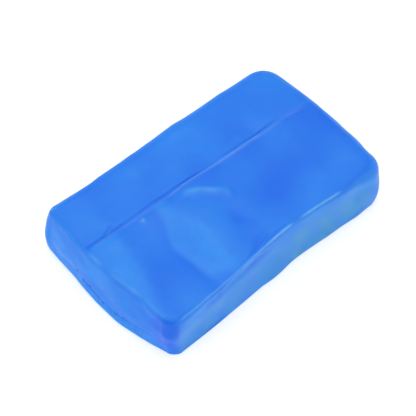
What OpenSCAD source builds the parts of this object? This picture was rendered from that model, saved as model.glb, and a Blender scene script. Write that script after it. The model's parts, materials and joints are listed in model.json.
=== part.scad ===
// Detailing clay bar: a kneadable block in its clear wrapping film.
// The film is one sheet. It goes round the four long faces and laps over itself along the top,
// and at each end a leaf of it folds down over the end face. The lap and the two end leaves lift.
// X runs along the bar, Y across it and Z up. Z = 0 is the surface that the bar lies on.

/* [Clay] */
// Length over the two bulged ends
clay_l = 80; // [70:1:100]
// Width over the corners
clay_w = 48; // [42:1:60]
// Height
clay_h = 15.4; // [13:0.1:20]
// Radius of the end faces, seen from above
end_r = 170; // [80:5:300]
// Radius of the upright corners, seen from above
corner_r = 5.5; // [5:0.5:8]
// How far the front side pulls in at its middle
front_waist = 1.6; // [0:0.1:2]
// How far the back side pulls in at its middle
back_waist = 0.4; // [0:0.1:2]
// Mean radius of the top edges
top_r = 3.4; // [3:0.1:3.8]
// How much rounder the back right corner's edge is, and how much sharper the front left one's
top_r_spread = 1.2; // [0:0.1:1.2]
// Radius of the bottom edges
foot_r = 1.1; // [0.6:0.1:2]

/* [Film] */
// Thickness of the film
film_t = 0.1; // [0.05:0.01:0.2]
// Distance from the middle of the top to the lap's free edge
seam_y = 6.3; // [3:0.1:8]
// Slant of the lap's free edge, in degrees
seam_slant = 1.2; // [0:0.1:3]
// Width of the lap's loose strip
lap_w = 12; // [6:0.5:15]
// Length of the lap's loose strip
lap_l = 70; // [50:1:70]
// Distance from the middle of the bar to the middle of the loose strip, towards the left end
lap_shift = 0.9; // [0.7:0.1:1.1]
// How far the hidden layer runs in under the loose strip
underlap = 1.5; // [1:0.5:11]
// Height of an end leaf's free edge above the clay's underside
end_lip = 3.5; // [1.5:0.1:6]

/* [Hidden] */

clearance = 0.05;       // air between the clay or the film and a leaf that lifts
lap_corner_r = 1.5;     // rounding of the loose strip's two free corners
leaf_share = 0.99;      // part of an end face's half angle that its leaf spans
side_steps = 12;        // facets along each long side
corner_steps = 6;       // facets round each upright corner
end_steps = 10;         // facets across each end face
foot_steps = 4;         // facets round the bottom edges
top_steps = 6;          // facets round the top edges

clay_top = film_t + clay_h;
// The end face's arc and the corner's arc meet where both face this angle from the X axis.
end_angle = asin((clay_w / 2 - corner_r) / (end_r - corner_r));
end_centre = clay_l / 2 - end_r;
corner_x = end_centre + (end_r - corner_r) * cos(end_angle);
corner_y = clay_w / 2 - corner_r;

// A column is one upright line of the clay's skin: [x, y, normal x, normal y], at its widest height.
function corner_column(sx, sy, a) =
    [sx * (corner_x + corner_r * cos(a)), sy * (corner_y + corner_r * sin(a)), sx * cos(a), sy * sin(a)];

function side_column(sy, waist, x) =
    let (slope = waist * PI / (2 * corner_x) * sin(180 * x / corner_x), n = norm([slope, 1]))
    [x, sy * (clay_w / 2 - waist * (1 + cos(180 * x / corner_x)) / 2), -slope / n, sy / n];

function end_column(sx, a) = [sx * (end_centre + end_r * cos(a)), end_r * sin(a), sx * cos(a), sin(a)];

// Columns of one long side with its two corners, from the left end to the right.
function long_side(sy, waist) = concat(
    [for (i = [0 : corner_steps]) corner_column(-1, sy, end_angle + (90 - end_angle) * i / corner_steps)],
    [for (i = [1 : side_steps - 1]) side_column(sy, waist, corner_x * (2 * i / side_steps - 1))],
    [for (i = [0 : corner_steps]) corner_column(1, sy, 90 - (90 - end_angle) * i / corner_steps)]);

// Columns of one end face, from front to back, out to share times its half angle.
function end_face(sx, share) =
    [for (i = [0 : end_steps]) end_column(sx, share * end_angle * (2 * i / end_steps - 1))];

// Radius of the top edge at a column: sharper at the front left, rounder at the back right.
function edge_r(c) = top_r + top_r_spread * (c[2] + c[3]) / sqrt(2);

// A ring is [inset from the widest height, height above the clay's underside, slope of its normal].
foot_rings = [for (i = [0 : foot_steps]) let (a = -90 + 90 * i / foot_steps)
    [foot_r * (1 - cos(a)), foot_r * (1 + sin(a)), a]];
function top_rings(c) = [for (i = [0 : top_steps]) let (a = 90 * i / top_steps)
    [edge_r(c) * (1 - cos(a)), clay_h - edge_r(c) * (1 - sin(a)), a]];
function wall_rings(c) = concat(foot_rings, top_rings(c));
function leaf_rings(c) = concat([[0, end_lip, 0]], top_rings(c));

// The point of a column at a ring, lifted off the clay by a distance.
function skin_point(c, ring, lift) =
    let (out = lift * cos(ring[2]) - ring[0])
    [c[0] + c[2] * out, c[1] + c[3] * out, film_t + ring[1] + lift * sin(ring[2])];
function wall(c, lift) = [for (ring = wall_rings(c)) skin_point(c, ring, lift)];
function leaf(c, lift) = [for (ring = leaf_rings(c)) skin_point(c, ring, lift)];

function reversed(v) = [for (i = [len(v) - 1 : -1 : 0]) v[i]];
function flat(lists) = [for (list = lists) each list];
function quad(a, b, c, d) = [[a, b, c], [a, c, d]];

// A closed thin solid between two grids of points that have the same rows and columns.
module shell(outer, inner) {
    n = len(outer);
    m = len(outer[0]);
    function id(side, i, j) = side * n * m + i * m + j;
    faces = concat(
        flat([for (i = [0 : n - 2], j = [0 : m - 2])
            quad(id(0, i, j), id(0, i, j + 1), id(0, i + 1, j + 1), id(0, i + 1, j))]),
        flat([for (i = [0 : n - 2], j = [0 : m - 2])
            quad(id(1, i, j), id(1, i + 1, j), id(1, i + 1, j + 1), id(1, i, j + 1))]),
        flat([for (i = [0 : n - 2]) quad(id(0, i, 0), id(0, i + 1, 0), id(1, i + 1, 0), id(1, i, 0))]),
        flat([for (i = [0 : n - 2])
            quad(id(0, i, m - 1), id(1, i, m - 1), id(1, i + 1, m - 1), id(0, i + 1, m - 1))]),
        flat([for (j = [0 : m - 2]) quad(id(0, 0, j), id(1, 0, j), id(1, 0, j + 1), id(0, 0, j + 1))]),
        flat([for (j = [0 : m - 2])
            quad(id(0, n - 1, j), id(0, n - 1, j + 1), id(1, n - 1, j + 1), id(1, n - 1, j))]));
    polyhedron(points = concat(flat(inner), flat(outer)), faces = faces);
}

module clay_block() {
    // Once round the clay, anticlockwise from above, with each corner's shared column taken once.
    right = end_face(1, 1);
    left = reversed(end_face(-1, 1));
    inner_right = [for (i = [1 : end_steps - 1]) right[i]];
    inner_left = [for (i = [1 : end_steps - 1]) left[i]];
    columns = concat(long_side(-1, front_waist), inner_right,
                     reversed(long_side(1, back_waist)), inner_left);
    walls = [for (c = columns) wall(c, 0)];
    n = len(walls);
    m = len(walls[0]);
    sides = flat([for (i = [0 : n - 1], j = [0 : m - 2]) let (k = (i + 1) % n)
        quad(i * m + j, i * m + j + 1, k * m + j + 1, k * m + j)]);
    underside = [for (i = [0 : n - 1]) i * m];
    top = reversed([for (i = [0 : n - 1]) i * m + m - 1]);
    color([0.23, 0.52, 0.94]) polyhedron(points = flat(walls), faces = concat(sides, [underside, top]));
}

// Where a line beside the lap's free edge, nearer the front by an offset, crosses a given X.
function seam_at(x, offset) = seam_y - x * tan(seam_slant) - offset / cos(seam_slant);

// The sleeve's section at one pair of columns, from the lap's root round the bar to the hidden edge.
function sleeve_section(front, back, lift) =
    let (f = wall(front, lift), b = wall(back, lift), ft = f[len(f) - 1], bt = b[len(b) - 1])
    concat([[ft[0], seam_at(ft[0], lap_w + clearance), ft[2]]], reversed(f), b,
           [[bt[0], seam_at(bt[0], underlap), bt[2]]]);

module film_wrap() {
    front = long_side(-1, front_waist);
    back = long_side(1, back_waist);
    outer = [for (i = [0 : len(front) - 1]) sleeve_section(front[i], back[i], film_t)];
    inner = [for (i = [0 : len(front) - 1]) sleeve_section(front[i], back[i], 0)];
    color([0.75, 0.88, 1, 0.4]) shell(outer, inner);
}

module film_lap() {
    color([0.80, 0.92, 1, 0.4])
        translate([0, seam_y, clay_top + film_t + clearance])
            rotate([0, 0, -seam_slant])
                translate([-lap_shift, 0])
                    linear_extrude(film_t)
                        union() {
                            translate([-lap_l / 2, -lap_w]) square([lap_l, lap_w - lap_corner_r]);
                            translate([-lap_l / 2 + lap_corner_r, -lap_corner_r])
                                square([lap_l - 2 * lap_corner_r, lap_corner_r]);
                            for (s = [-1, 1])
                                translate([s * (lap_l / 2 - lap_corner_r), -lap_corner_r])
                                    circle(r = lap_corner_r, $fn = 32);
                        }
}

module end_leaf(sx) {
    columns = sx > 0 ? reversed(end_face(sx, leaf_share)) : end_face(sx, leaf_share);
    outer = [for (c = columns) leaf(c, clearance + film_t)];
    inner = [for (c = columns) leaf(c, clearance)];
    color([0.75, 0.88, 1, 0.4]) shell(outer, inner);
}

module film_end_left() { end_leaf(-1); }

module film_end_right() { end_leaf(1); }

clay_block();
film_wrap();
film_lap();
film_end_left();
film_end_right();
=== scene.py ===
"""A detailing clay bar in its clear wrapping film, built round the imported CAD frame.

The clay is one dense block whose relief is worked out from a few named marks: the lap's print, the
gathers beside it, the creased rim, the dragged lip at the foot of each end. The film is cut from the
same surface, a hair further out, so that it lies on the clay everywhere.
Lengths in this script are millimetres until a mesh is written, because the marks are that small.
"""
import json
import math

import bmesh
import bpy
import numpy as np
from mathutils import Matrix, Vector


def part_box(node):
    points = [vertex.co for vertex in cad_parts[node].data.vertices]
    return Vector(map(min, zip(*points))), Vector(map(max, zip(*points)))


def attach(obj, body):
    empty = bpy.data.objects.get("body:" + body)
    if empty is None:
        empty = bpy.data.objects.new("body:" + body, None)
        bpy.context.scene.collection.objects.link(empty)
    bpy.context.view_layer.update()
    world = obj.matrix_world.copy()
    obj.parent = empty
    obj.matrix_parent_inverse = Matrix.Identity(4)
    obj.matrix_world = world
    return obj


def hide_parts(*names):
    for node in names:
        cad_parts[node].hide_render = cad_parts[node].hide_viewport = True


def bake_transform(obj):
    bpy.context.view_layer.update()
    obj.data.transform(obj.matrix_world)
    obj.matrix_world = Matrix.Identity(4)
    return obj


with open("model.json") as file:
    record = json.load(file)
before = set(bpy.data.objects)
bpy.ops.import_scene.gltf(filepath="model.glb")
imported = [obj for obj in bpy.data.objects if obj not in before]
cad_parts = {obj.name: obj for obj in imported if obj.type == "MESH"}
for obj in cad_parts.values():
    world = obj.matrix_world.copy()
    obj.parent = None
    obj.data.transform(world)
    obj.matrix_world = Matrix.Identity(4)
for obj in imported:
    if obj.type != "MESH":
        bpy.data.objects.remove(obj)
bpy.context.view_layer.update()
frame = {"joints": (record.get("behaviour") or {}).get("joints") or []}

MM = 0.001
clay_low, clay_high = (np.array(corner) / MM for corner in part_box("clay_block"))
LENGTH, WIDTH, HEIGHT = clay_high - clay_low
UNDERSIDE = clay_low[2]
HALF_L, HALF_W = LENGTH / 2, WIDTH / 2
joints = {joint["name"]: joint for joint in frame["joints"]}

# The lap: its root is the peeling joint's axis, and its free edge is one strip's width behind that.
lap_root = np.array(joints["lap_peel"]["pos_m"]) / MM
lap_axis = np.array(joints["lap_peel"]["axis"])
lap_across = np.array([-lap_axis[1], lap_axis[0], 0.0])
LAP_WIDTH = 12.0
UNDERLAP = 1.5

# The clay's form, in plan and in section.
CORNER_R = {"front_left": 3.6, "front_right": 5.4, "back_left": 3.2, "back_right": 6.2}
END_BULGE = {"left": 1.7, "right": 1.5}
EDGE_R = {"left": 1.4, "right": 4.1, "front": 1.6, "back": 3.9}
FRONT_EDGE_SOFTER = 2.2
FOOT_R, FOOT_R_CORNER, FOOT_R_BACK_LEFT = 0.8, 1.2, 0.5
FRONT_WAIST, FRONT_WAIST_X, FRONT_WAIST_LEAN = 1.65, 5.4, 0.55
BACK_WAIST, BACK_WAIST_X = 1.15, -23.0
WAIST_REACH = 32.0
TAPER = 0.74
SKEW = 0.33
FRONT_LEFT_POINT, FRONT_RIGHT_POINT = 1.0, 2.1
LEFT_TUCK_FOOT, LEFT_TUCK_RIM = 1.6, 1.0
FRONT_FLARE = 0.4
LEFT_FLARE, LEFT_FLARE_TWIST = 0.67, 0.9


# ---------- small shaping functions ----------

def ramp(x, start, end):
    """0 before start, 1 after end, and smooth between."""
    t = np.clip((x - start) / (end - start), 0.0, 1.0)
    return t * t * (3 - 2 * t)


def window(x, start, end, soft):
    """1 between start and end, falling to 0 over twice soft at each."""
    return ramp(x, start - soft, start + soft) * (1 - ramp(x, end - soft, end + soft))


def bell(distance, width):
    return np.exp(-(distance / width) ** 2)


def dip(x, centre, reach):
    """A raised cosine, 1 at centre and 0 beyond reach."""
    return (1 + np.cos(np.pi * np.clip((x - centre) / reach, -1, 1))) / 2


def follow(y, *places):
    """A value given at a few heights (y, value), straight in between."""
    ys, values = zip(*sorted(places))
    return np.mean([np.interp(y + aside, ys, values) for aside in (-3, -2, -1, 0, 1, 2, 3)], axis=0)


def stroke(x, y, points, width, fade=0.18):
    """1 along a chain of points, falling off to its sides over width and to nothing at its two ends."""
    points = np.array(points, float)
    steps = np.diff(points, axis=0)
    lengths = np.hypot(steps[:, 0], steps[:, 1])
    starts = np.concatenate([[0], np.cumsum(lengths)])
    nearest = np.full(np.shape(x), 1e9)
    share = np.zeros(np.shape(x))
    for k, step in enumerate(steps):
        t = np.clip(((x - points[k, 0]) * step[0] + (y - points[k, 1]) * step[1]) / lengths[k] ** 2, 0, 1)
        away = np.hypot(x - points[k, 0] - t * step[0], y - points[k, 1] - t * step[1])
        closer = away < nearest
        nearest = np.where(closer, away, nearest)
        share = np.where(closer, (starts[k] + t * lengths[k]) / starts[-1], share)
    return bell(nearest, width) * ramp(share, 0, fade) * (1 - ramp(share, 1 - fade, 1))


def waves(x, y, wavelength, seed, count=9):
    """Smooth seeded undulation of about unit height."""
    rng = np.random.default_rng(seed)
    total = np.zeros(np.shape(x))
    for _ in range(count):
        angle, phase = rng.uniform(0, 2 * np.pi, 2)
        k = 2 * np.pi / (wavelength * rng.uniform(0.7, 1.6))
        total += np.sin(k * (x * np.cos(angle) + y * np.sin(angle)) + phase)
    return total / math.sqrt(count / 2)


# ---------- the clay's form ----------

def graded(low, high, coarse, bands):
    """Positions from low to high, coarse apart, and finer in each band of (centre, reach, spacing)."""
    fine = np.linspace(low, high, 4001)
    density = np.full(fine.shape, 1 / coarse)
    for centre, reach, spacing in bands:
        density = np.maximum(density, 1 / coarse + (1 / spacing - 1 / coarse) * bell(fine - centre, reach))
    run = np.concatenate([[0], np.cumsum((density[1:] + density[:-1]) / 2 * np.diff(fine))])
    return np.interp(np.linspace(0, run[-1], int(round(run[-1])) + 1), run, fine)


def box_lattice(xs, ys, zs):
    """Vertices and quads of a closed box whose faces are ruled at the given places."""
    def side(a, b, fixed, place, flip):
        i, j = np.meshgrid(np.arange(len(a) - 1), np.arange(len(b) - 1), indexing="ij")
        corners = []
        for di, dj in ((0, 0), (1, 0), (1, 1), (0, 1)):
            key = np.zeros(i.shape + (3,), int)
            axes = [axis for axis in range(3) if axis != fixed]
            key[..., axes[0]], key[..., axes[1]], key[..., fixed] = i + di, j + dj, place
            corners.append(key.reshape(-1, 3))
        return np.stack(corners[::-1] if flip else corners, 1)
    quads = np.concatenate([
        side(xs, ys, 2, len(zs) - 1, False), side(xs, ys, 2, 0, True),
        side(xs, zs, 1, len(ys) - 1, True), side(xs, zs, 1, 0, False),
        side(ys, zs, 0, len(xs) - 1, False), side(ys, zs, 0, 0, True)])
    keys, index = np.unique(quads.reshape(-1, 3), axis=0, return_inverse=True)
    points = np.stack([xs[keys[:, 0]], ys[keys[:, 1]], zs[keys[:, 2]]], 1)
    return points, index.reshape(-1, 4)


def round_off(depth, height, radius):
    """Turns the square edge where a wall (depth 0) meets a face (height 0 and up is outside) into an arc."""
    a, b = radius - depth, radius + height
    inside = (a > 0) & (b > 0)
    shrink = np.where(inside, np.maximum(a, b) / np.maximum(np.hypot(a, b), 1e-9), 1)
    return np.where(inside, radius - a * shrink, depth), np.where(inside, b * shrink - radius, height)


def block(points):
    """Rounds and bends a square box of points into the clay's plain form, its underside at height 0."""
    x, y, z = points[:, 0].copy(), points[:, 1].copy(), points[:, 2].copy()
    left = x < 0
    bulge = np.where(left, END_BULGE["left"], END_BULGE["right"])
    half_x = HALF_L - bulge
    x *= half_x / HALF_L
    rightness, backness = ramp(x, -25, 25), ramp(y, -12, 12)
    front_left, front_right = (1 - rightness) * (1 - backness), rightness * (1 - backness)
    back_left, back_right = (1 - rightness) * backness, rightness * backness
    radius = (front_left * CORNER_R["front_left"] + front_right * CORNER_R["front_right"]
              + back_left * CORNER_R["back_left"] + back_right * CORNER_R["back_right"])
    radius -= FRONT_LEFT_POINT * front_left * (1 - ramp(z, 0, 9))
    radius -= FRONT_RIGHT_POINT * front_right * (1 - ramp(z, 4, 14))
    core_x = np.clip(x, radius - half_x, half_x - radius)
    core_y = np.clip(y, radius - HALF_W, HALF_W - radius)
    out_x, out_y = x - core_x, y - core_y
    reach = np.maximum(abs(out_x), abs(out_y))
    length = np.maximum(np.hypot(out_x, out_y), 1e-9)
    normal_x, normal_y = out_x / length, out_y / length
    front_edge = EDGE_R["front"] + FRONT_EDGE_SOFTER * ramp(x, 22, 36)
    edge = (normal_x ** 2 * np.where(normal_x < 0, EDGE_R["left"], EDGE_R["right"])
            + normal_y ** 2 * np.where(normal_y < 0, front_edge, EDGE_R["back"]))
    edge = np.minimum(edge, 0.97 * radius)
    in_margin = reach > 1e-9
    depth, above = round_off(radius - reach, z - HEIGHT, edge)
    corner = 2 * abs(normal_x * normal_y) * np.where(left & (y < 0), 0.2, 1)
    foot = FOOT_R + FOOT_R_CORNER * corner + FOOT_R_BACK_LEFT * normal_x ** 2 * left * ramp(y, -4, 10)
    depth, below = round_off(depth, -(HEIGHT + above), foot)
    x = np.where(in_margin, core_x + normal_x * (radius - depth), x)
    y = np.where(in_margin, core_y + normal_y * (radius - depth), y)
    z = np.where(in_margin, -below, z)
    t = z / HEIGHT - 0.5
    across = np.clip(y / HALF_W, -1, 1)
    x += np.sign(x) * bulge * (1 - across ** 2) * abs(x) / half_x
    front_waist = FRONT_WAIST * (1 + FRONT_WAIST_LEAN * t) * dip(x, FRONT_WAIST_X, WAIST_REACH)
    back_waist = BACK_WAIST * dip(x, BACK_WAIST_X, WAIST_REACH)
    y += np.where(y < 0, front_waist, back_waist) * -across
    y *= 1 - TAPER * x / HALF_L / HALF_W
    y = np.where(y < 0, y * (1 - FRONT_FLARE * t / HALF_W), y)
    lean = LEFT_FLARE + LEFT_FLARE_TWIST * y / HALF_W
    x = np.where(x < 0, x * (1 - lean * t / HALF_L), x)
    tuck = LEFT_TUCK_FOOT * bell(z, 7) * ramp(-y, 6, 24) + LEFT_TUCK_RIM * ramp(z, 5, 15) * bell(y + 13, 7)
    x += tuck * ramp(-x, 24, 38) + SKEW * y / HALF_W
    return np.stack([x, y, z], 1)


def normals(points, quads):
    a, b, c, d = (points[quads[:, k]] for k in range(4))
    face = np.cross(c - a, d - b)
    out = np.zeros_like(points)
    for k in range(4):
        np.add.at(out, quads[:, k], face)
    return out / np.maximum(np.linalg.norm(out, axis=1)[:, None], 1e-12)


# ---------- the clay's relief ----------

def seam_line(x):
    """Where the lap's free edge crosses each x."""
    free = lap_root + lap_across * LAP_WIDTH
    return free[1] + (x - free[0]) * lap_axis[1] / lap_axis[0]


def lip_line(y):
    """Height of each end leaf's free edge above the clay's underside."""
    return 3.4 + 0.3 * np.sin(y * 0.35) + 1.3 * ramp(-y, 8, 20) + 0.9 * ramp(y, 5, 12)


def top_relief(x, y):
    """Heights on the top face: the lap's print, the gathers in front of it and the soft dents."""
    behind = y - seam_line(x)
    in_front = ramp(-behind, 0, 3.5)
    h = 0.07 * waves(x, y, 26, 3) + 0.02 * waves(x, y, 9, 4)
    # the print of the lap's edge: a groove, the ridge in front of it, and a second fine line
    print_depth = window(x, -40, 27, 3) * (0.8 + 0.2 * waves(x, 0 * x, 14, 5))
    h += -0.42 * bell(behind - 0.10 + 0.12 * waves(x, 0 * x, 11, 6), 0.30) * print_depth
    h += 0.20 * bell(behind + 0.60, 0.34) * window(x, -9, 20, 3) * print_depth
    h += -0.10 * bell(behind + 1.15, 0.20) * window(x, -12, 5, 3)
    h += 0.10 * ramp(-behind, 0, 0.6) * (1 - ramp(-behind, 3, 9)) * window(x, -42, 42, 1)
    # gathers: two broad swells with a sharp trough between them, and a fold from the seam
    fall = in_front * (1 - 0.35 * ramp(-y, 12, 24))
    crest_a = follow(y, (4, -13.5), (-5, -10.5), (-10, -10), (-16, -11.5), (-23, -12))
    crest_b = follow(y, (4, -30.5), (-5, -31.5), (-12, -34.5), (-20, -37))
    trough = follow(y, (4, -17), (0, -18), (-6, -22.6), (-12, -21.6), (-23, -21.0))
    h += 0.40 * bell(x - crest_b, 4.4) * fall * (1 - 0.6 * ramp(-y, 8, 16))
    h += 0.52 * bell(x - crest_a, 5.4) * fall
    h += -0.24 * bell(x - trough, 1.7) * fall * ramp(-y, -2, 8)
    h += 0.42 * stroke(x, y, [(-10, 4.8), (-5.0, 2.0), (-1.8, -0.8), (0.6, -2.6), (0.8, -5.5)], 1.2)
    h += -0.30 * bell(x + 3.0, 2.1) * bell(y + 11.0, 3.0)
    h += -0.10 * bell(x + 0.3, 0.9) * bell(y + 13.8, 0.9)
    h += 0.16 * stroke(x, y, [(-16, 5.4), (-15.6, 2), (-15.4, -3)], 1.3)
    h += 0.28 * bell(x + 21.8, 0.7) * bell(y - 4.3, 1.0)
    h += -0.40 * stroke(x, y, [(-33.6, 6.9), (-31.4, 7.5), (-28.2, 8.3)], 0.5)
    h += 0.05 * stroke(x, y, [(11.5, 8.9), (13.5, 8.0), (16, 7.0)], 0.6)
    # fine parallel creases beside the front rim
    h += 0.20 * stroke(x, y, [(-9.5, -20.6), (-5, -19.2), (-1, -18.0)], 0.32)
    h += -0.20 * stroke(x, y, [(-9.5, -21.5), (-4, -20.4), (0.5, -19.6)], 0.32)
    h += 0.07 * stroke(x, y, [(-29, -21.6), (-26.5, -22.0), (-23.5, -21.9)], 0.4)
    # wrinkles where the lap runs out at the right
    h += -0.14 * stroke(x, y, [(25, 5.2), (30, 4.6), (35.5, 3.0)], 0.32)
    h += -0.10 * stroke(x, y, [(28, 4.4), (32, 2.6), (36, 0.6)], 0.35)
    return h


def turned(component):
    """1 where the surface faces along the axis whose normal component this is, and 0 where it doesn't."""
    return ramp(component, 0.35, 0.85)


def front_rim(box, normal):
    """Distance from the front rim, positive over the top and negative down the side, and where it counts."""
    s = np.where(box[:, 2] > HEIGHT - 1e-6, box[:, 1] + HALF_W, box[:, 2] - HEIGHT)
    side = (1 - turned(-normal[:, 2])) * (box[:, 1] < 0)
    return s, side * (1 - ramp(s, 4, 6)) * ramp(s, -7, -5) * window(box[:, 0], -37, 37, 1.5)


def rim_ridge(x, s):
    """The fold that runs along the front rim, and the line that it follows."""
    line = 0.45 - 0.4 * ramp(-x, 25, 32)
    size = 0.30 * window(x, -36, 5.6, 1.6) * (0.75 + 0.55 * ramp(x, -14, 2)) + 0.42 * window(x, 9.5, 22, 1.2)
    size += 0.15 * window(x, -2, 5, 1)
    return line, size * bell(s - line, 0.36)


def rim_relief(x, s):
    """The creased front rim."""
    line, h = rim_ridge(x, s)
    h += -0.16 * window(x, -12, 7, 3) * bell(s - line - 0.85, 0.35)
    h += -0.25 * window(x, -30, -1, 5) * bell(s - line + 2.6, 1.6)
    h += -0.10 * stroke(x, s, [(3.5, -1.6), (7, -1.2), (10, -0.6)], 0.3)
    h += 0.06 * stroke(x, s, [(11, -1.0), (15, -0.7), (19, -1.2)], 0.3)
    return h


def front_relief(x, z):
    """The front side: drawn in under its rim, flared out to a foot that stands in slow waves."""
    up = np.clip(z / HEIGHT, 0, 1)
    h = -0.75 * np.sin(np.pi * up ** 0.8) * window(x, -34, 30, 7)
    foot = bell(z, 4.5)
    h += foot * (-0.55 * window(x, -40, -17, 4) + 0.35 * bell(x, 7) - 0.30 * bell(x - 10, 4)
                 + 0.05 * bell(x - 18, 6) + 0.15 * bell(x - 27, 3) - 0.3 * bell(x - 35, 4))
    h += -0.25 * bell(z - 12.6, 1.6) * window(x, -25, -4, 4)
    h += 0.25 * bell(z - 13.2, 1.3) * window(x, -34, -27, 2)
    h += 0.06 * waves(x, z, 11, 8)
    h += -0.12 * stroke(x, z, [(4.5, 12.2), (7, 12.5), (9.5, 12.9)], 0.35)
    h += -0.05 * stroke(x, z, [(6.5, 11.5), (8, 9), (9.2, 6)], 0.4)
    h += -0.35 * bell(np.hypot(x - 28, z - 1.8), 0.6) - 0.35 * bell(np.hypot((x - 30.2) / 1.4, z - 2.3), 0.6)
    return h


def left_rim(box, normal):
    """Distance from the left end's rim, positive over the top and negative down the end, and where it counts."""
    s = np.where(box[:, 2] > HEIGHT - 1e-6, box[:, 0] + HALF_L, box[:, 2] - HEIGHT)
    side = (1 - turned(-normal[:, 2])) * (box[:, 0] < 0)
    return s, side * (1 - ramp(s, 3, 4)) * ramp(s, -4, -3)


def end_relief(y, z):
    """An end: a little swollen, with the foot dragged out into a lip under a pitted line."""
    line = lip_line(y)
    across = window(y, -20, 20, 3)
    h = 0.18 * dip(z, 0.62 * HEIGHT, 0.45 * HEIGHT) * dip(y, 0, 27)
    h += 0.34 * bell(z - 0.2, 2.4) * across
    h += -0.16 * bell(z - line, 0.32) * across * (0.7 + 0.3 * waves(y, 0 * y, 6, 12))
    for pit_y, drop, size in ((9.0, 1.2, 0.42), (6.3, 0.3, 0.34), (5.2, 0.1, 0.26), (4.0, 0.3, 0.36),
                              (1.9, 0.0, 0.25), (0.6, -0.2, 0.36), (-1.6, -0.3, 0.28), (-4.2, -0.4, 0.33),
                              (-6.4, -0.4, 0.36), (-8.8, -0.1, 0.30), (-13.0, 0.1, 0.24)):
        h += -0.55 * bell(np.hypot(y - pit_y, z - line - drop), 1.25 * size)
    h += 0.04 * waves(y, z, 5, 11)
    return h


def relief(box, form, normal):
    """How far each point of the clay stands off its plain form."""
    x, y, z = form.T
    up, down = turned(normal[:, 2]), turned(-normal[:, 2])
    front, back = turned(-normal[:, 1]), turned(normal[:, 1])
    left, right = turned(-normal[:, 0]), turned(normal[:, 0])
    h = up * top_relief(x, y)
    h += front * front_relief(x, z) + left * end_relief(y, z) + right * end_relief(-y, z)
    # the foot of the left end is drawn in towards the back
    h += -0.9 * left * bell(z, 5) * bell(y - 14, 8)
    # the upright corners swell, each at its own height, and the back side stands in slow waves
    corner = abs(2 * normal[:, 0] * normal[:, 1]) * (abs(x) > 20)
    front_right, back_left = (x > 0) & (y < 0), (x < 0) & (y > 0)
    h += 0.6 * dip(z, 0.60 * HEIGHT, 0.5 * HEIGHT) * corner * np.where(front_right, 0, 1)
    h += 0.35 * bell(z - 6.0, 4.5) * corner * front_right + 0.7 * bell(z - 5, 4) * corner * back_left
    h += back * (0.10 * waves(x, z, 16, 21) + 0.15 * bell(x + 13, 8) + 0.45 * bell(x + 8, 5)
                 + 0.15 * bell(x - 17, 8))
    h += 0.03 * (1 - down) * waves(x + z, y - z, 7, 31)
    s, near_front = front_rim(box, normal)
    h += near_front * rim_relief(x, s)
    # the left rim is crisp in front of the seam and soft behind it
    s, near_left = left_rim(box, normal)
    h += near_left * 0.24 * bell(s - 0.4, 0.45) * window(y, -21, 5.5, 0.8)
    h += -0.12 * near_left * bell(s - 1.2, 1.4) * window(y, 6.5, 24, 1.0)
    # the pinched notch where the left rim meets the front one
    h += -0.45 * (1 - down) * bell(np.hypot(x + 37.6, y + 22.6), 1.3) * ramp(z, 9, 14)
    return h


def air_share(form, normal):
    """How pale the clay is painted, 1 a dry, pale patch and 0 a wetted, deep one: partly where air lies under
    the film, and partly painted light and shade on the gathers, the dent, the front rim, the front-left corner
    and the left end's lip.
    """
    x, y, z = form.T
    top = ramp(normal[:, 2], 0.72, 0.97)
    behind = y - seam_line(x)
    in_front = ramp(-behind, 0.2, 1.5)
    a = 0.45 + 0.10 * waves(x, y, 18, 41)
    left_a = follow(y, (4, -17.5), (0, -18), (-6, -22.2), (-12, -21.2), (-23, -20.6))
    right_a = follow(y, (4, -14), (0, -13.5), (-7, -10.5), (-15, -13), (-23, -13.5))
    right_b = follow(y, (4, -30.5), (-5, -32), (-12, -34.5), (-20, -38))
    band_a = window(x - left_a, 0, 60, 1.2) * (1 - ramp(x - right_a, -1.5, 1.5)) * (1 - ramp(-y, 17, 24))
    # Pale and deep bands over the gathers and a deep dent: partly air under the film, partly painted light and
    # shade on the swells and painted shade in the dent.
    a += in_front * (0.50 * band_a
                     + 0.40 * window(x, -38.5, 60, 1) * (1 - ramp(x - right_b, -1.6, 1.6))
                     - 0.10 * window(x - right_b, 2, 60, 1.6) * (1 - ramp(x - left_a, -1.5, 0))
                     - 0.22 * window(x, 2, 60, 4) * ramp(y, -17, -10)
                     - 0.08 * bell(np.hypot((x - 17) / 1.2, y + 8), 3.2)
                     - 0.36 * bell(np.hypot(x + 3, (y + 11) / 1.6), 1.9))
    # A pale streak along the fold from the seam: partly air under the film, partly a painted highlight.
    a += 0.50 * stroke(x, y, [(-9.5, 4.3), (-5, 2.2), (-2, -0.4), (0.5, -2.2), (0, -5)], 1.1)
    # Pale patches behind the seam: painted highlights.
    a += 0.40 * bell(np.hypot((x + 13) / 1.6, y - 17.5), 2.6)
    a += 0.30 * bell(np.hypot((x - 3) / 3, y - 19.5), 1.8)
    a += 0.12 * bell(np.hypot(x + 5, y - 11), 3.5) + 0.3 * bell(np.hypot((x - 14) / 1.8, y - 8.1), 0.9)
    # The sides are painted in slow waves, and the front-left corner deep: painted shade.
    sides = 0.72 + 0.12 * waves(x + y, z, 9, 42) - 0.75 * bell(np.hypot(x + 39.2, y + 23.4), 4.0)
    sides += -0.25 * ramp(-y, 6, 18) * ramp(-normal[:, 0], 0.3, 0.8)
    # A deep band under the front rim: painted shade.
    sides += -0.35 * window(x, -25, -4, 4) * ramp(-y, 18, 20) * bell(z - 12.5, 1.8)
    # The left end's lip, under its pitted line, is painted pale: painted light where its foot turns up.
    sides += 0.5 * ramp(-normal[:, 0], 0.3, 0.8) * (1 - ramp(z, lip_line(y) - 1, lip_line(y)))
    return np.clip(top * a + (1 - top) * sides, 0, 1)


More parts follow.
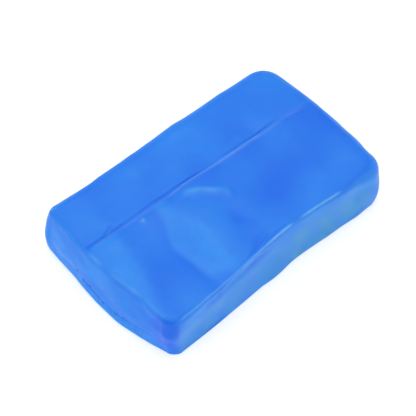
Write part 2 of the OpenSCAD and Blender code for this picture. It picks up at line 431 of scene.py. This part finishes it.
def veil_and_painted_reflection_share(form, normal):
    """Where the front side is painted a greyer, paler blue: partly the film standing off it with a bloom showing
    through, and partly a painted reflection of the pale floor, strongest low on the side and towards the right.
    """
    x, y, z = form.T
    bloom = (0.75 - 0.6 * ramp(z, 6, 15)) * (0.55 + 0.45 * ramp(x, -6, 12)) * (1 - 0.6 * ramp(x, 28, 36))
    return ramp(-normal[:, 1], 0.55, 0.95) * ramp(x, -36.5, -34) * bloom * (1 + 0.12 * waves(x, z, 8, 51))


def painted_glint_share(box, form, normal):
    """Painted highlights where the film is folded up crisply: along the rims, the seam and one gather, and a
    painted speck of light on the top.
    """
    x, y, z = form.T
    top = ramp(normal[:, 2], 0.72, 0.97)
    s, near_front = front_rim(box, normal)
    painted_glint = 2.6 * near_front * rim_ridge(x, s)[1]
    s, near_left = left_rim(box, normal)
    broken = 0.9 + 0.5 * waves(y, 0 * y, 7, 61)
    painted_glint += 0.26 * near_left * bell(s - 0.4, 0.6) * window(y, -21, 5.5, 1.5) * broken
    painted_glint += top * (0.35 * bell(y - seam_line(x) + 0.60, 0.32) * window(x, -9, 20, 3)
                    + 0.34 * stroke(x, y, [(-9.5, 4.3), (-5.0, 2.3), (-1.8, -0.6), (0.5, -2.2)], 0.9, 0.35)
                    + 0.60 * bell(np.hypot(x + 22, y - 4.3), 0.6))
    return np.clip(painted_glint, 0, 1)


def clay_surface():
    """The clay's vertices, quads and vertex normals in millimetres, and its patches of air with painted light
    and shade, of veil with painted reflection, and of painted highlight.
    """
    xs = graded(-HALF_L, HALF_L, 0.62, [(-HALF_L + 1.6, 1.6, 0.22), (HALF_L - 3, 3.0, 0.4), (-4, 12, 0.42)])
    ys = graded(-HALF_W, HALF_W, 0.62, [(-HALF_W + 1.8, 2.0, 0.15), (6.1, 1.9, 0.13), (-1, 9, 0.34),
                                        (HALF_W - 2.5, 2.5, 0.4)])
    zs = graded(0, HEIGHT, 0.6, [(HEIGHT - 1.2, 1.6, 0.24), (3.7, 1.8, 0.22), (0.6, 0.9, 0.25)])
    lattice, quads = box_lattice(xs, ys, zs)
    form = block(lattice)
    out = normals(form, quads)
    patches = {"air": air_share(form, out), "veil_and_painted_reflection": veil_and_painted_reflection_share(form, out),
               "painted_glint": painted_glint_share(lattice, form, out)}
    points = form + out * relief(lattice, form, out)[:, None]
    points[:, 2] = np.maximum(points[:, 2], 0) + UNDERSIDE
    return points, quads, normals(points, quads), patches


# ---------- meshes ----------

def new_object(name, points_mm, faces, surface):
    mesh = bpy.data.meshes.new(name)
    mesh.from_pydata((np.asarray(points_mm) * MM).tolist(), [], [list(map(int, face)) for face in faces])
    mesh.validate()
    mesh.shade_smooth()
    obj = bpy.data.objects.new(name, mesh)
    bpy.context.scene.collection.objects.link(obj)
    mesh.materials.append(surface)
    return obj


# ---------- materials ----------

def material(name):
    mat = bpy.data.materials.new(name)
    mat.use_nodes = True
    tree = mat.node_tree
    tree.nodes.clear()
    return mat, tree.nodes, tree.links, tree.nodes.new("ShaderNodeOutputMaterial")


def noise(nodes, links, coords, scale, detail=3.0, rough=0.55):
    node = nodes.new("ShaderNodeTexNoise")
    node.inputs["Scale"].default_value = scale
    node.inputs["Detail"].default_value = detail
    node.inputs["Roughness"].default_value = rough
    links.new(coords, node.inputs["Vector"])
    return node.outputs["Fac"]


def stretch(nodes, links, value, low, high, to_low, to_high):
    node = nodes.new("ShaderNodeMapRange")
    for socket, number in zip(("From Min", "From Max", "To Min", "To Max"), (low, high, to_low, to_high)):
        node.inputs[socket].default_value = number
    links.new(value, node.inputs["Value"])
    return node.outputs["Result"]


def mix_colour(nodes, links, share, first, second):
    node = nodes.new("ShaderNodeMix")
    node.data_type = "RGBA"
    links.new(share, node.inputs["Factor"])
    for socket, colour in ((node.inputs[6], first), (node.inputs[7], second)):
        if isinstance(colour, tuple):
            socket.default_value = (*colour, 1)
        else:
            links.new(colour, socket)
    return node.outputs[2]


def clay_material():
    mat, nodes, links, out = material("detailing_clay")
    shader = nodes.new("ShaderNodeBsdfPrincipled")
    coords = nodes.new("ShaderNodeTexCoord").outputs["Object"]
    # The deep and pale blues mixed here stand partly for wetted and dry film and partly for painted shade and
    # painted light.
    air = nodes.new("ShaderNodeAttribute")
    air.attribute_name = "air"
    wetted_and_shaded, dry_and_lit, fleck = (0.0055, 0.165, 0.90), (0.026, 0.300, 0.96), (0.008, 0.170, 0.82)
    body = mix_colour(nodes, links, air.outputs["Fac"], wetted_and_shaded, dry_and_lit)
    # A greyer, paler blue painted on the front side: partly the film's bloom, partly a painted reflection of the
    # pale floor.
    veil_and_painted_reflection = nodes.new("ShaderNodeAttribute")
    veil_and_painted_reflection.attribute_name = "veil_and_painted_reflection"
    body = mix_colour(nodes, links, veil_and_painted_reflection.outputs["Fac"], body, (0.080, 0.370, 0.74))
    # Pale blue painted highlights along the film's folds and the seam, and one speck on the top.
    painted_glint = nodes.new("ShaderNodeAttribute")
    painted_glint.attribute_name = "painted_glint"
    body = mix_colour(nodes, links, painted_glint.outputs["Fac"], body, (0.150, 0.480, 0.98))
    mottle = stretch(nodes, links, noise(nodes, links, coords, 420.0, 4.0), 0.45, 0.8, 0.0, 0.30)
    links.new(mix_colour(nodes, links, mottle, body, fleck), shader.inputs["Base Color"])
    smear = noise(nodes, links, coords, 95.0, 3.0)
    links.new(stretch(nodes, links, smear, 0.3, 0.7, 0.40, 0.56), shader.inputs["Roughness"])
    shader.inputs["Specular IOR Level"].default_value = 0.06
    shader.inputs["Subsurface Weight"].default_value = 0.12
    shader.inputs["Subsurface Radius"].default_value = (0.3, 0.7, 1.0)
    shader.inputs["Subsurface Scale"].default_value = 0.0012
    grain = nodes.new("ShaderNodeBump")
    grain.inputs["Strength"].default_value = 0.35
    grain.inputs["Distance"].default_value = 0.00006
    links.new(noise(nodes, links, coords, 1500.0, 5.0, 0.6), grain.inputs["Height"])
    dents = nodes.new("ShaderNodeBump")
    dents.inputs["Strength"].default_value = 0.5
    dents.inputs["Distance"].default_value = 0.00012
    links.new(noise(nodes, links, coords, 260.0, 3.0), dents.inputs["Height"])
    links.new(grain.outputs["Normal"], dents.inputs["Normal"])
    links.new(dents.outputs["Normal"], shader.inputs["Normal"])
    links.new(shader.outputs["BSDF"], out.inputs["Surface"])
    return mat


def film_material():
    mat, nodes, links, out = material("clear_film")
    coords = nodes.new("ShaderNodeTexCoord").outputs["Object"]
    clear = nodes.new("ShaderNodeBsdfTransparent")
    clear.inputs["Color"].default_value = (0.99, 0.995, 1.0, 1)
    gloss = nodes.new("ShaderNodeBsdfGlossy")
    gloss.inputs["Color"].default_value = (1, 1, 1, 1)
    smear = noise(nodes, links, coords, 130.0, 3.0)
    links.new(stretch(nodes, links, smear, 0.3, 0.7, 0.36, 0.48), gloss.inputs["Roughness"])
    wrinkles = nodes.new("ShaderNodeBump")
    wrinkles.inputs["Strength"].default_value = 0.3
    wrinkles.inputs["Distance"].default_value = 0.00006
    links.new(noise(nodes, links, coords, 330.0, 4.0), wrinkles.inputs["Height"])
    links.new(wrinkles.outputs["Normal"], gloss.inputs["Normal"])
    facing = nodes.new("ShaderNodeLayerWeight")
    facing.inputs["Blend"].default_value = 0.5
    links.new(wrinkles.outputs["Normal"], facing.inputs["Normal"])
    grazing = nodes.new("ShaderNodeMath")
    grazing.operation = "POWER"
    grazing.inputs[1].default_value = 5.0
    links.new(facing.outputs["Facing"], grazing.inputs[0])
    shine = nodes.new("ShaderNodeMixShader")
    links.new(stretch(nodes, links, grazing.outputs["Value"], 0.0, 1.0, 0.009, 0.12), shine.inputs["Fac"])
    links.new(clear.outputs["BSDF"], shine.inputs[1])
    links.new(gloss.outputs["BSDF"], shine.inputs[2])
    milk = nodes.new("ShaderNodeBsdfDiffuse")
    milk.inputs["Color"].default_value = (0.70, 0.82, 0.95, 1)
    haze = nodes.new("ShaderNodeMixShader")
    haze.inputs["Fac"].default_value = 0.003
    links.new(shine.outputs["Shader"], haze.inputs[1])
    links.new(milk.outputs["BSDF"], haze.inputs[2])
    links.new(haze.outputs["Shader"], out.inputs["Surface"])
    return mat


def floor_material():
    mat, nodes, links, out = material("studio_floor")
    shader = nodes.new("ShaderNodeBsdfPrincipled")
    coords = nodes.new("ShaderNodeTexCoord").outputs["Object"]
    paper = stretch(nodes, links, noise(nodes, links, coords, 900.0), 0.3, 0.7, 0.0, 1.0)
    white = mix_colour(nodes, links, paper, (0.60, 0.60, 0.60), (0.63, 0.63, 0.63))
    links.new(white, shader.inputs["Base Color"])
    shader.inputs["Roughness"].default_value = 0.9
    shader.inputs["Specular IOR Level"].default_value = 0.1
    shader.inputs["Emission Color"].default_value = (1, 1, 1, 1)
    shader.inputs["Emission Strength"].default_value = 0.62
    links.new(shader.outputs["BSDF"], out.inputs["Surface"])
    return mat


# ---------- the clay ----------

points, quads, outward, patches = clay_surface()
clay = new_object("clay_bar", points, quads, clay_material())
for patch, share in patches.items():
    layer = clay.data.attributes.new(patch, "FLOAT", "POINT")
    layer.data.foreach_set("value", share.astype(np.float32))
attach(clay, "bar")
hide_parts("clay_block")


# ---------- the film ----------

FILM_GAP = 0.05
FILM_T = 0.03
ROOT_X = {side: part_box("film_end_" + side)[side == "left"][0] / MM for side in ("left", "right")}
LEAF_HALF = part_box("film_end_left")[1][1] / MM
LAP_ENDS = (ROOT_X["left"] + 0.05, ROOT_X["right"] - 0.05)
FOOT_JOIN_Y = -19.5


def cut_surface():
    """The clay's surface again, cut along every edge of the film. Its places are skewed for the cutting, so
    that the lap's edges and the leaves' free edges are flat planes there, and are set straight afterwards."""
    mesh = bmesh.new()
    facing = mesh.verts.layers.float_vector.new("facing")
    skewed = points.copy()
    skewed[:, 2] -= UNDERSIDE + lip_line(points[:, 1])
    verts = [mesh.verts.new(place) for place in skewed.tolist()]
    for vert, normal in zip(verts, outward.tolist()):
        vert[facing] = normal
    for quad in quads.tolist():
        mesh.faces.new([verts[k] for k in quad])
    across = Vector(lap_across)
    lap_cuts = [(Vector(lap_root) + across * (LAP_WIDTH - back), across) for back in (0, UNDERLAP, LAP_WIDTH)]
    cuts = [((place, 0, 0), (1, 0, 0)) for place in (ROOT_X["left"], ROOT_X["right"], *LAP_ENDS)]
    cuts += [((0, place, 0), (0, 1, 0)) for place in (-LEAF_HALF, LEAF_HALF, FOOT_JOIN_Y)]
    cuts += [((0, 0, 0), (0, 0, 1))]
    for place, normal in cuts + lap_cuts:
        bmesh.ops.bisect_plane(mesh, geom=mesh.verts[:] + mesh.edges[:] + mesh.faces[:], dist=1e-4,
                               plane_co=place, plane_no=normal)
    mesh.verts.index_update()
    places = np.array([vert.co for vert in mesh.verts])
    places[:, 2] += UNDERSIDE + lip_line(places[:, 1])
    facings = np.array([vert[facing] for vert in mesh.verts])
    facings /= np.linalg.norm(facings, axis=1)[:, None]
    faces = [[vert.index for vert in face.verts] for face in mesh.faces]
    mesh.free()
    return places, facings, faces


def from_lap_root(x, y):
    """Distance behind the lap's root line."""
    return (x - lap_root[0]) * lap_across[0] + (y - lap_root[1]) * lap_across[1]


def film_piece(name, places, facings, faces, keep, lift, mat):
    """A thin closed sheet over the kept faces, lift above the clay at each vertex."""
    kept = [face for face, chosen in zip(faces, keep) if chosen]
    used = np.unique(np.concatenate([np.array(face) for face in kept]))
    renumber = np.full(len(places), -1)
    renumber[used] = np.arange(len(used))
    kept = [[int(renumber[k]) for k in face] for face in kept]
    base, out, gap = places[used], facings[used], lift[used][:, None]
    inner, outer = base + out * gap, base + out * (gap + FILM_T)
    inner[:, 2], outer[:, 2] = np.maximum(inner[:, 2], 0.05), np.maximum(outer[:, 2], 0.02)
    count = len(used)
    edges = dict.fromkeys((a, b) for face in kept for a, b in zip(face, face[1:] + face[:1]))
    rim = [(b, a, a + count, b + count) for a, b in edges if (b, a) not in edges]
    sheet_faces = [[k + count for k in face] for face in kept] + [face[::-1] for face in kept] + rim
    sheet = new_object(name, np.concatenate([inner, outer]), sheet_faces, mat)
    loop_vert = np.zeros(len(sheet.data.loops), int)
    sheet.data.loops.foreach_get("vertex_index", loop_vert)
    split = np.concatenate([-out, out])[loop_vert]
    sheet.data.normals_split_custom_set(split.tolist())
    return sheet


places, facings, faces = cut_surface()
centre = np.array([places[face].mean(0) for face in faces])
cx, cy, cz = centre.T
above_lip = cz - UNDERSIDE - lip_line(cy)
behind_root = from_lap_root(cx, cy)
upper = cz > 0.5 * HEIGHT
underside = cz < UNDERSIDE + 0.02
leaf = {"left": (cx < ROOT_X["left"]) & (abs(cy) < LEAF_HALF) & (above_lip > 0),
        "right": (cx > ROOT_X["right"]) & (abs(cy) < LEAF_HALF) & (above_lip > 0)}
on_leaf = leaf["left"] | leaf["right"]
within_lap = (cx > LAP_ENDS[0]) & (cx < LAP_ENDS[1]) & upper & (behind_root > 0) & (behind_root < LAP_WIDTH)
front_of_lap = (behind_root < 0) & upper
front_side = ~upper & (cy < -LEAF_HALF) & (cy < FOOT_JOIN_Y)
film_front = ~on_leaf & (within_lap | front_of_lap | front_side)
film_back = ~on_leaf & ~(front_of_lap | front_side) & ~(upper & (behind_root < LAP_WIDTH - UNDERLAP))

film = film_material()
vert_behind = from_lap_root(places[:, 0], places[:, 1])
over_back = ramp(vert_behind, LAP_WIDTH - UNDERLAP - 1, LAP_WIDTH - UNDERLAP) * (places[:, 2] > 0.5 * HEIGHT)
free_edge = ramp(vert_behind, LAP_WIDTH - 0.9, LAP_WIDTH) * over_back
over_foot = 1 - ramp(places[:, 2] - lip_line(places[:, 1]), 1.2, 2.4)
lift_front = FILM_GAP + 0.05 * over_back + 0.02 * free_edge
lift_leaf = FILM_GAP + 0.05 * over_foot
lift_back = np.full(len(places), FILM_GAP)

front_sheet = film_piece("film_front_and_lap", places, facings, faces, film_front, lift_front, film)
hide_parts("film_lap")
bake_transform(front_sheet)

back_sheet = film_piece("film_back_and_base", places, facings, faces, film_back, lift_back, film)
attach(back_sheet, "bar")
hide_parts("film_wrap")

for side, outward_x in (("left", -1), ("right", 1)):
    sheet = film_piece("film_end_leaf_" + side, places, facings, faces, leaf[side], lift_leaf, film)
    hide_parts("film_end_" + side)
    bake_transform(sheet)


# ---------- the studio ----------

floor = new_object("studio_floor", [(-4000, -4000, 0), (4000, -4000, 0), (4000, 4000, 0), (-4000, 4000, 0)],
                   [(0, 1, 2, 3)], floor_material())

world = bpy.data.worlds.new("studio")
bpy.context.scene.world = world
world.use_nodes = True
sky_nodes, sky_links = world.node_tree.nodes, world.node_tree.links
towards = sky_nodes.new("ShaderNodeVectorMath")
towards.operation = "DOT_PRODUCT"
towards.inputs[1].default_value = (-0.73, -0.68, 0.0)
sky_links.new(sky_nodes.new("ShaderNodeTexCoord").outputs["Generated"], towards.inputs[0])
sky = stretch(sky_nodes, sky_links, towards.outputs["Value"], 0.55, 1.0, 0.60, 0.30)
sky_links.new(sky, sky_nodes["Background"].inputs["Strength"])
sky_nodes["Background"].inputs["Color"].default_value = (1.0, 1.0, 1.0, 1)


def softbox(name, direction, distance, size, power):
    """A rectangular light at that distance, facing the bar."""
    data = bpy.data.lights.new(name, "AREA")
    data.shape = "RECTANGLE"
    data.size, data.size_y = size
    data.energy = power
    lamp = bpy.data.objects.new(name, data)
    bpy.context.scene.collection.objects.link(lamp)
    direction = Vector(direction).normalized()
    lamp.location = direction * distance
    lamp.rotation_euler = direction.to_track_quat("Z", "Y").to_euler()
    return lamp


softbox("overhead", (0.10, 0.20, 0.97), 1.2, (0.70, 0.70), 4.2)
softbox("front_strip", (0.45, -0.77, 0.42), 1.0, (0.6, 0.25), 0.8)
softbox("left_strip", (-0.80, 0.25, 0.55), 1.0, (0.6, 0.3), 1.1)

CAMERA_AZIMUTH, CAMERA_ELEVATION, CAMERA_ROLL = -46.83, 52.62, 4.63
CAMERA_DISTANCE = 0.582
AIM_HEIGHT = 0.0077
azimuth, elevation, roll = (math.radians(a) for a in (CAMERA_AZIMUTH, CAMERA_ELEVATION, CAMERA_ROLL))
back = Vector((math.sin(azimuth) * math.cos(elevation), -math.cos(azimuth) * math.cos(elevation),
               math.sin(elevation)))
right = Vector((math.cos(azimuth), math.sin(azimuth), 0))
up = back.cross(right)
right, up = (math.cos(roll) * right + math.sin(roll) * up, math.cos(roll) * up - math.sin(roll) * right)
data = bpy.data.cameras.new("camera")
data.sensor_width = 36.0
data.lens = 194.9
data.shift_x, data.shift_y = -0.0212, -0.0096
data.clip_start, data.clip_end = 0.01, 50.0
camera = bpy.data.objects.new("camera", data)
bpy.context.scene.collection.objects.link(camera)
turn = Matrix((right, up, back)).transposed().to_4x4()
camera.matrix_world = Matrix.Translation(Vector((0, 0, AIM_HEIGHT)) + back * CAMERA_DISTANCE) @ turn
bpy.context.scene.camera = camera

bpy.context.scene.view_settings.view_transform = "Standard"
bpy.context.scene.cycles.transparent_max_bounces = 16
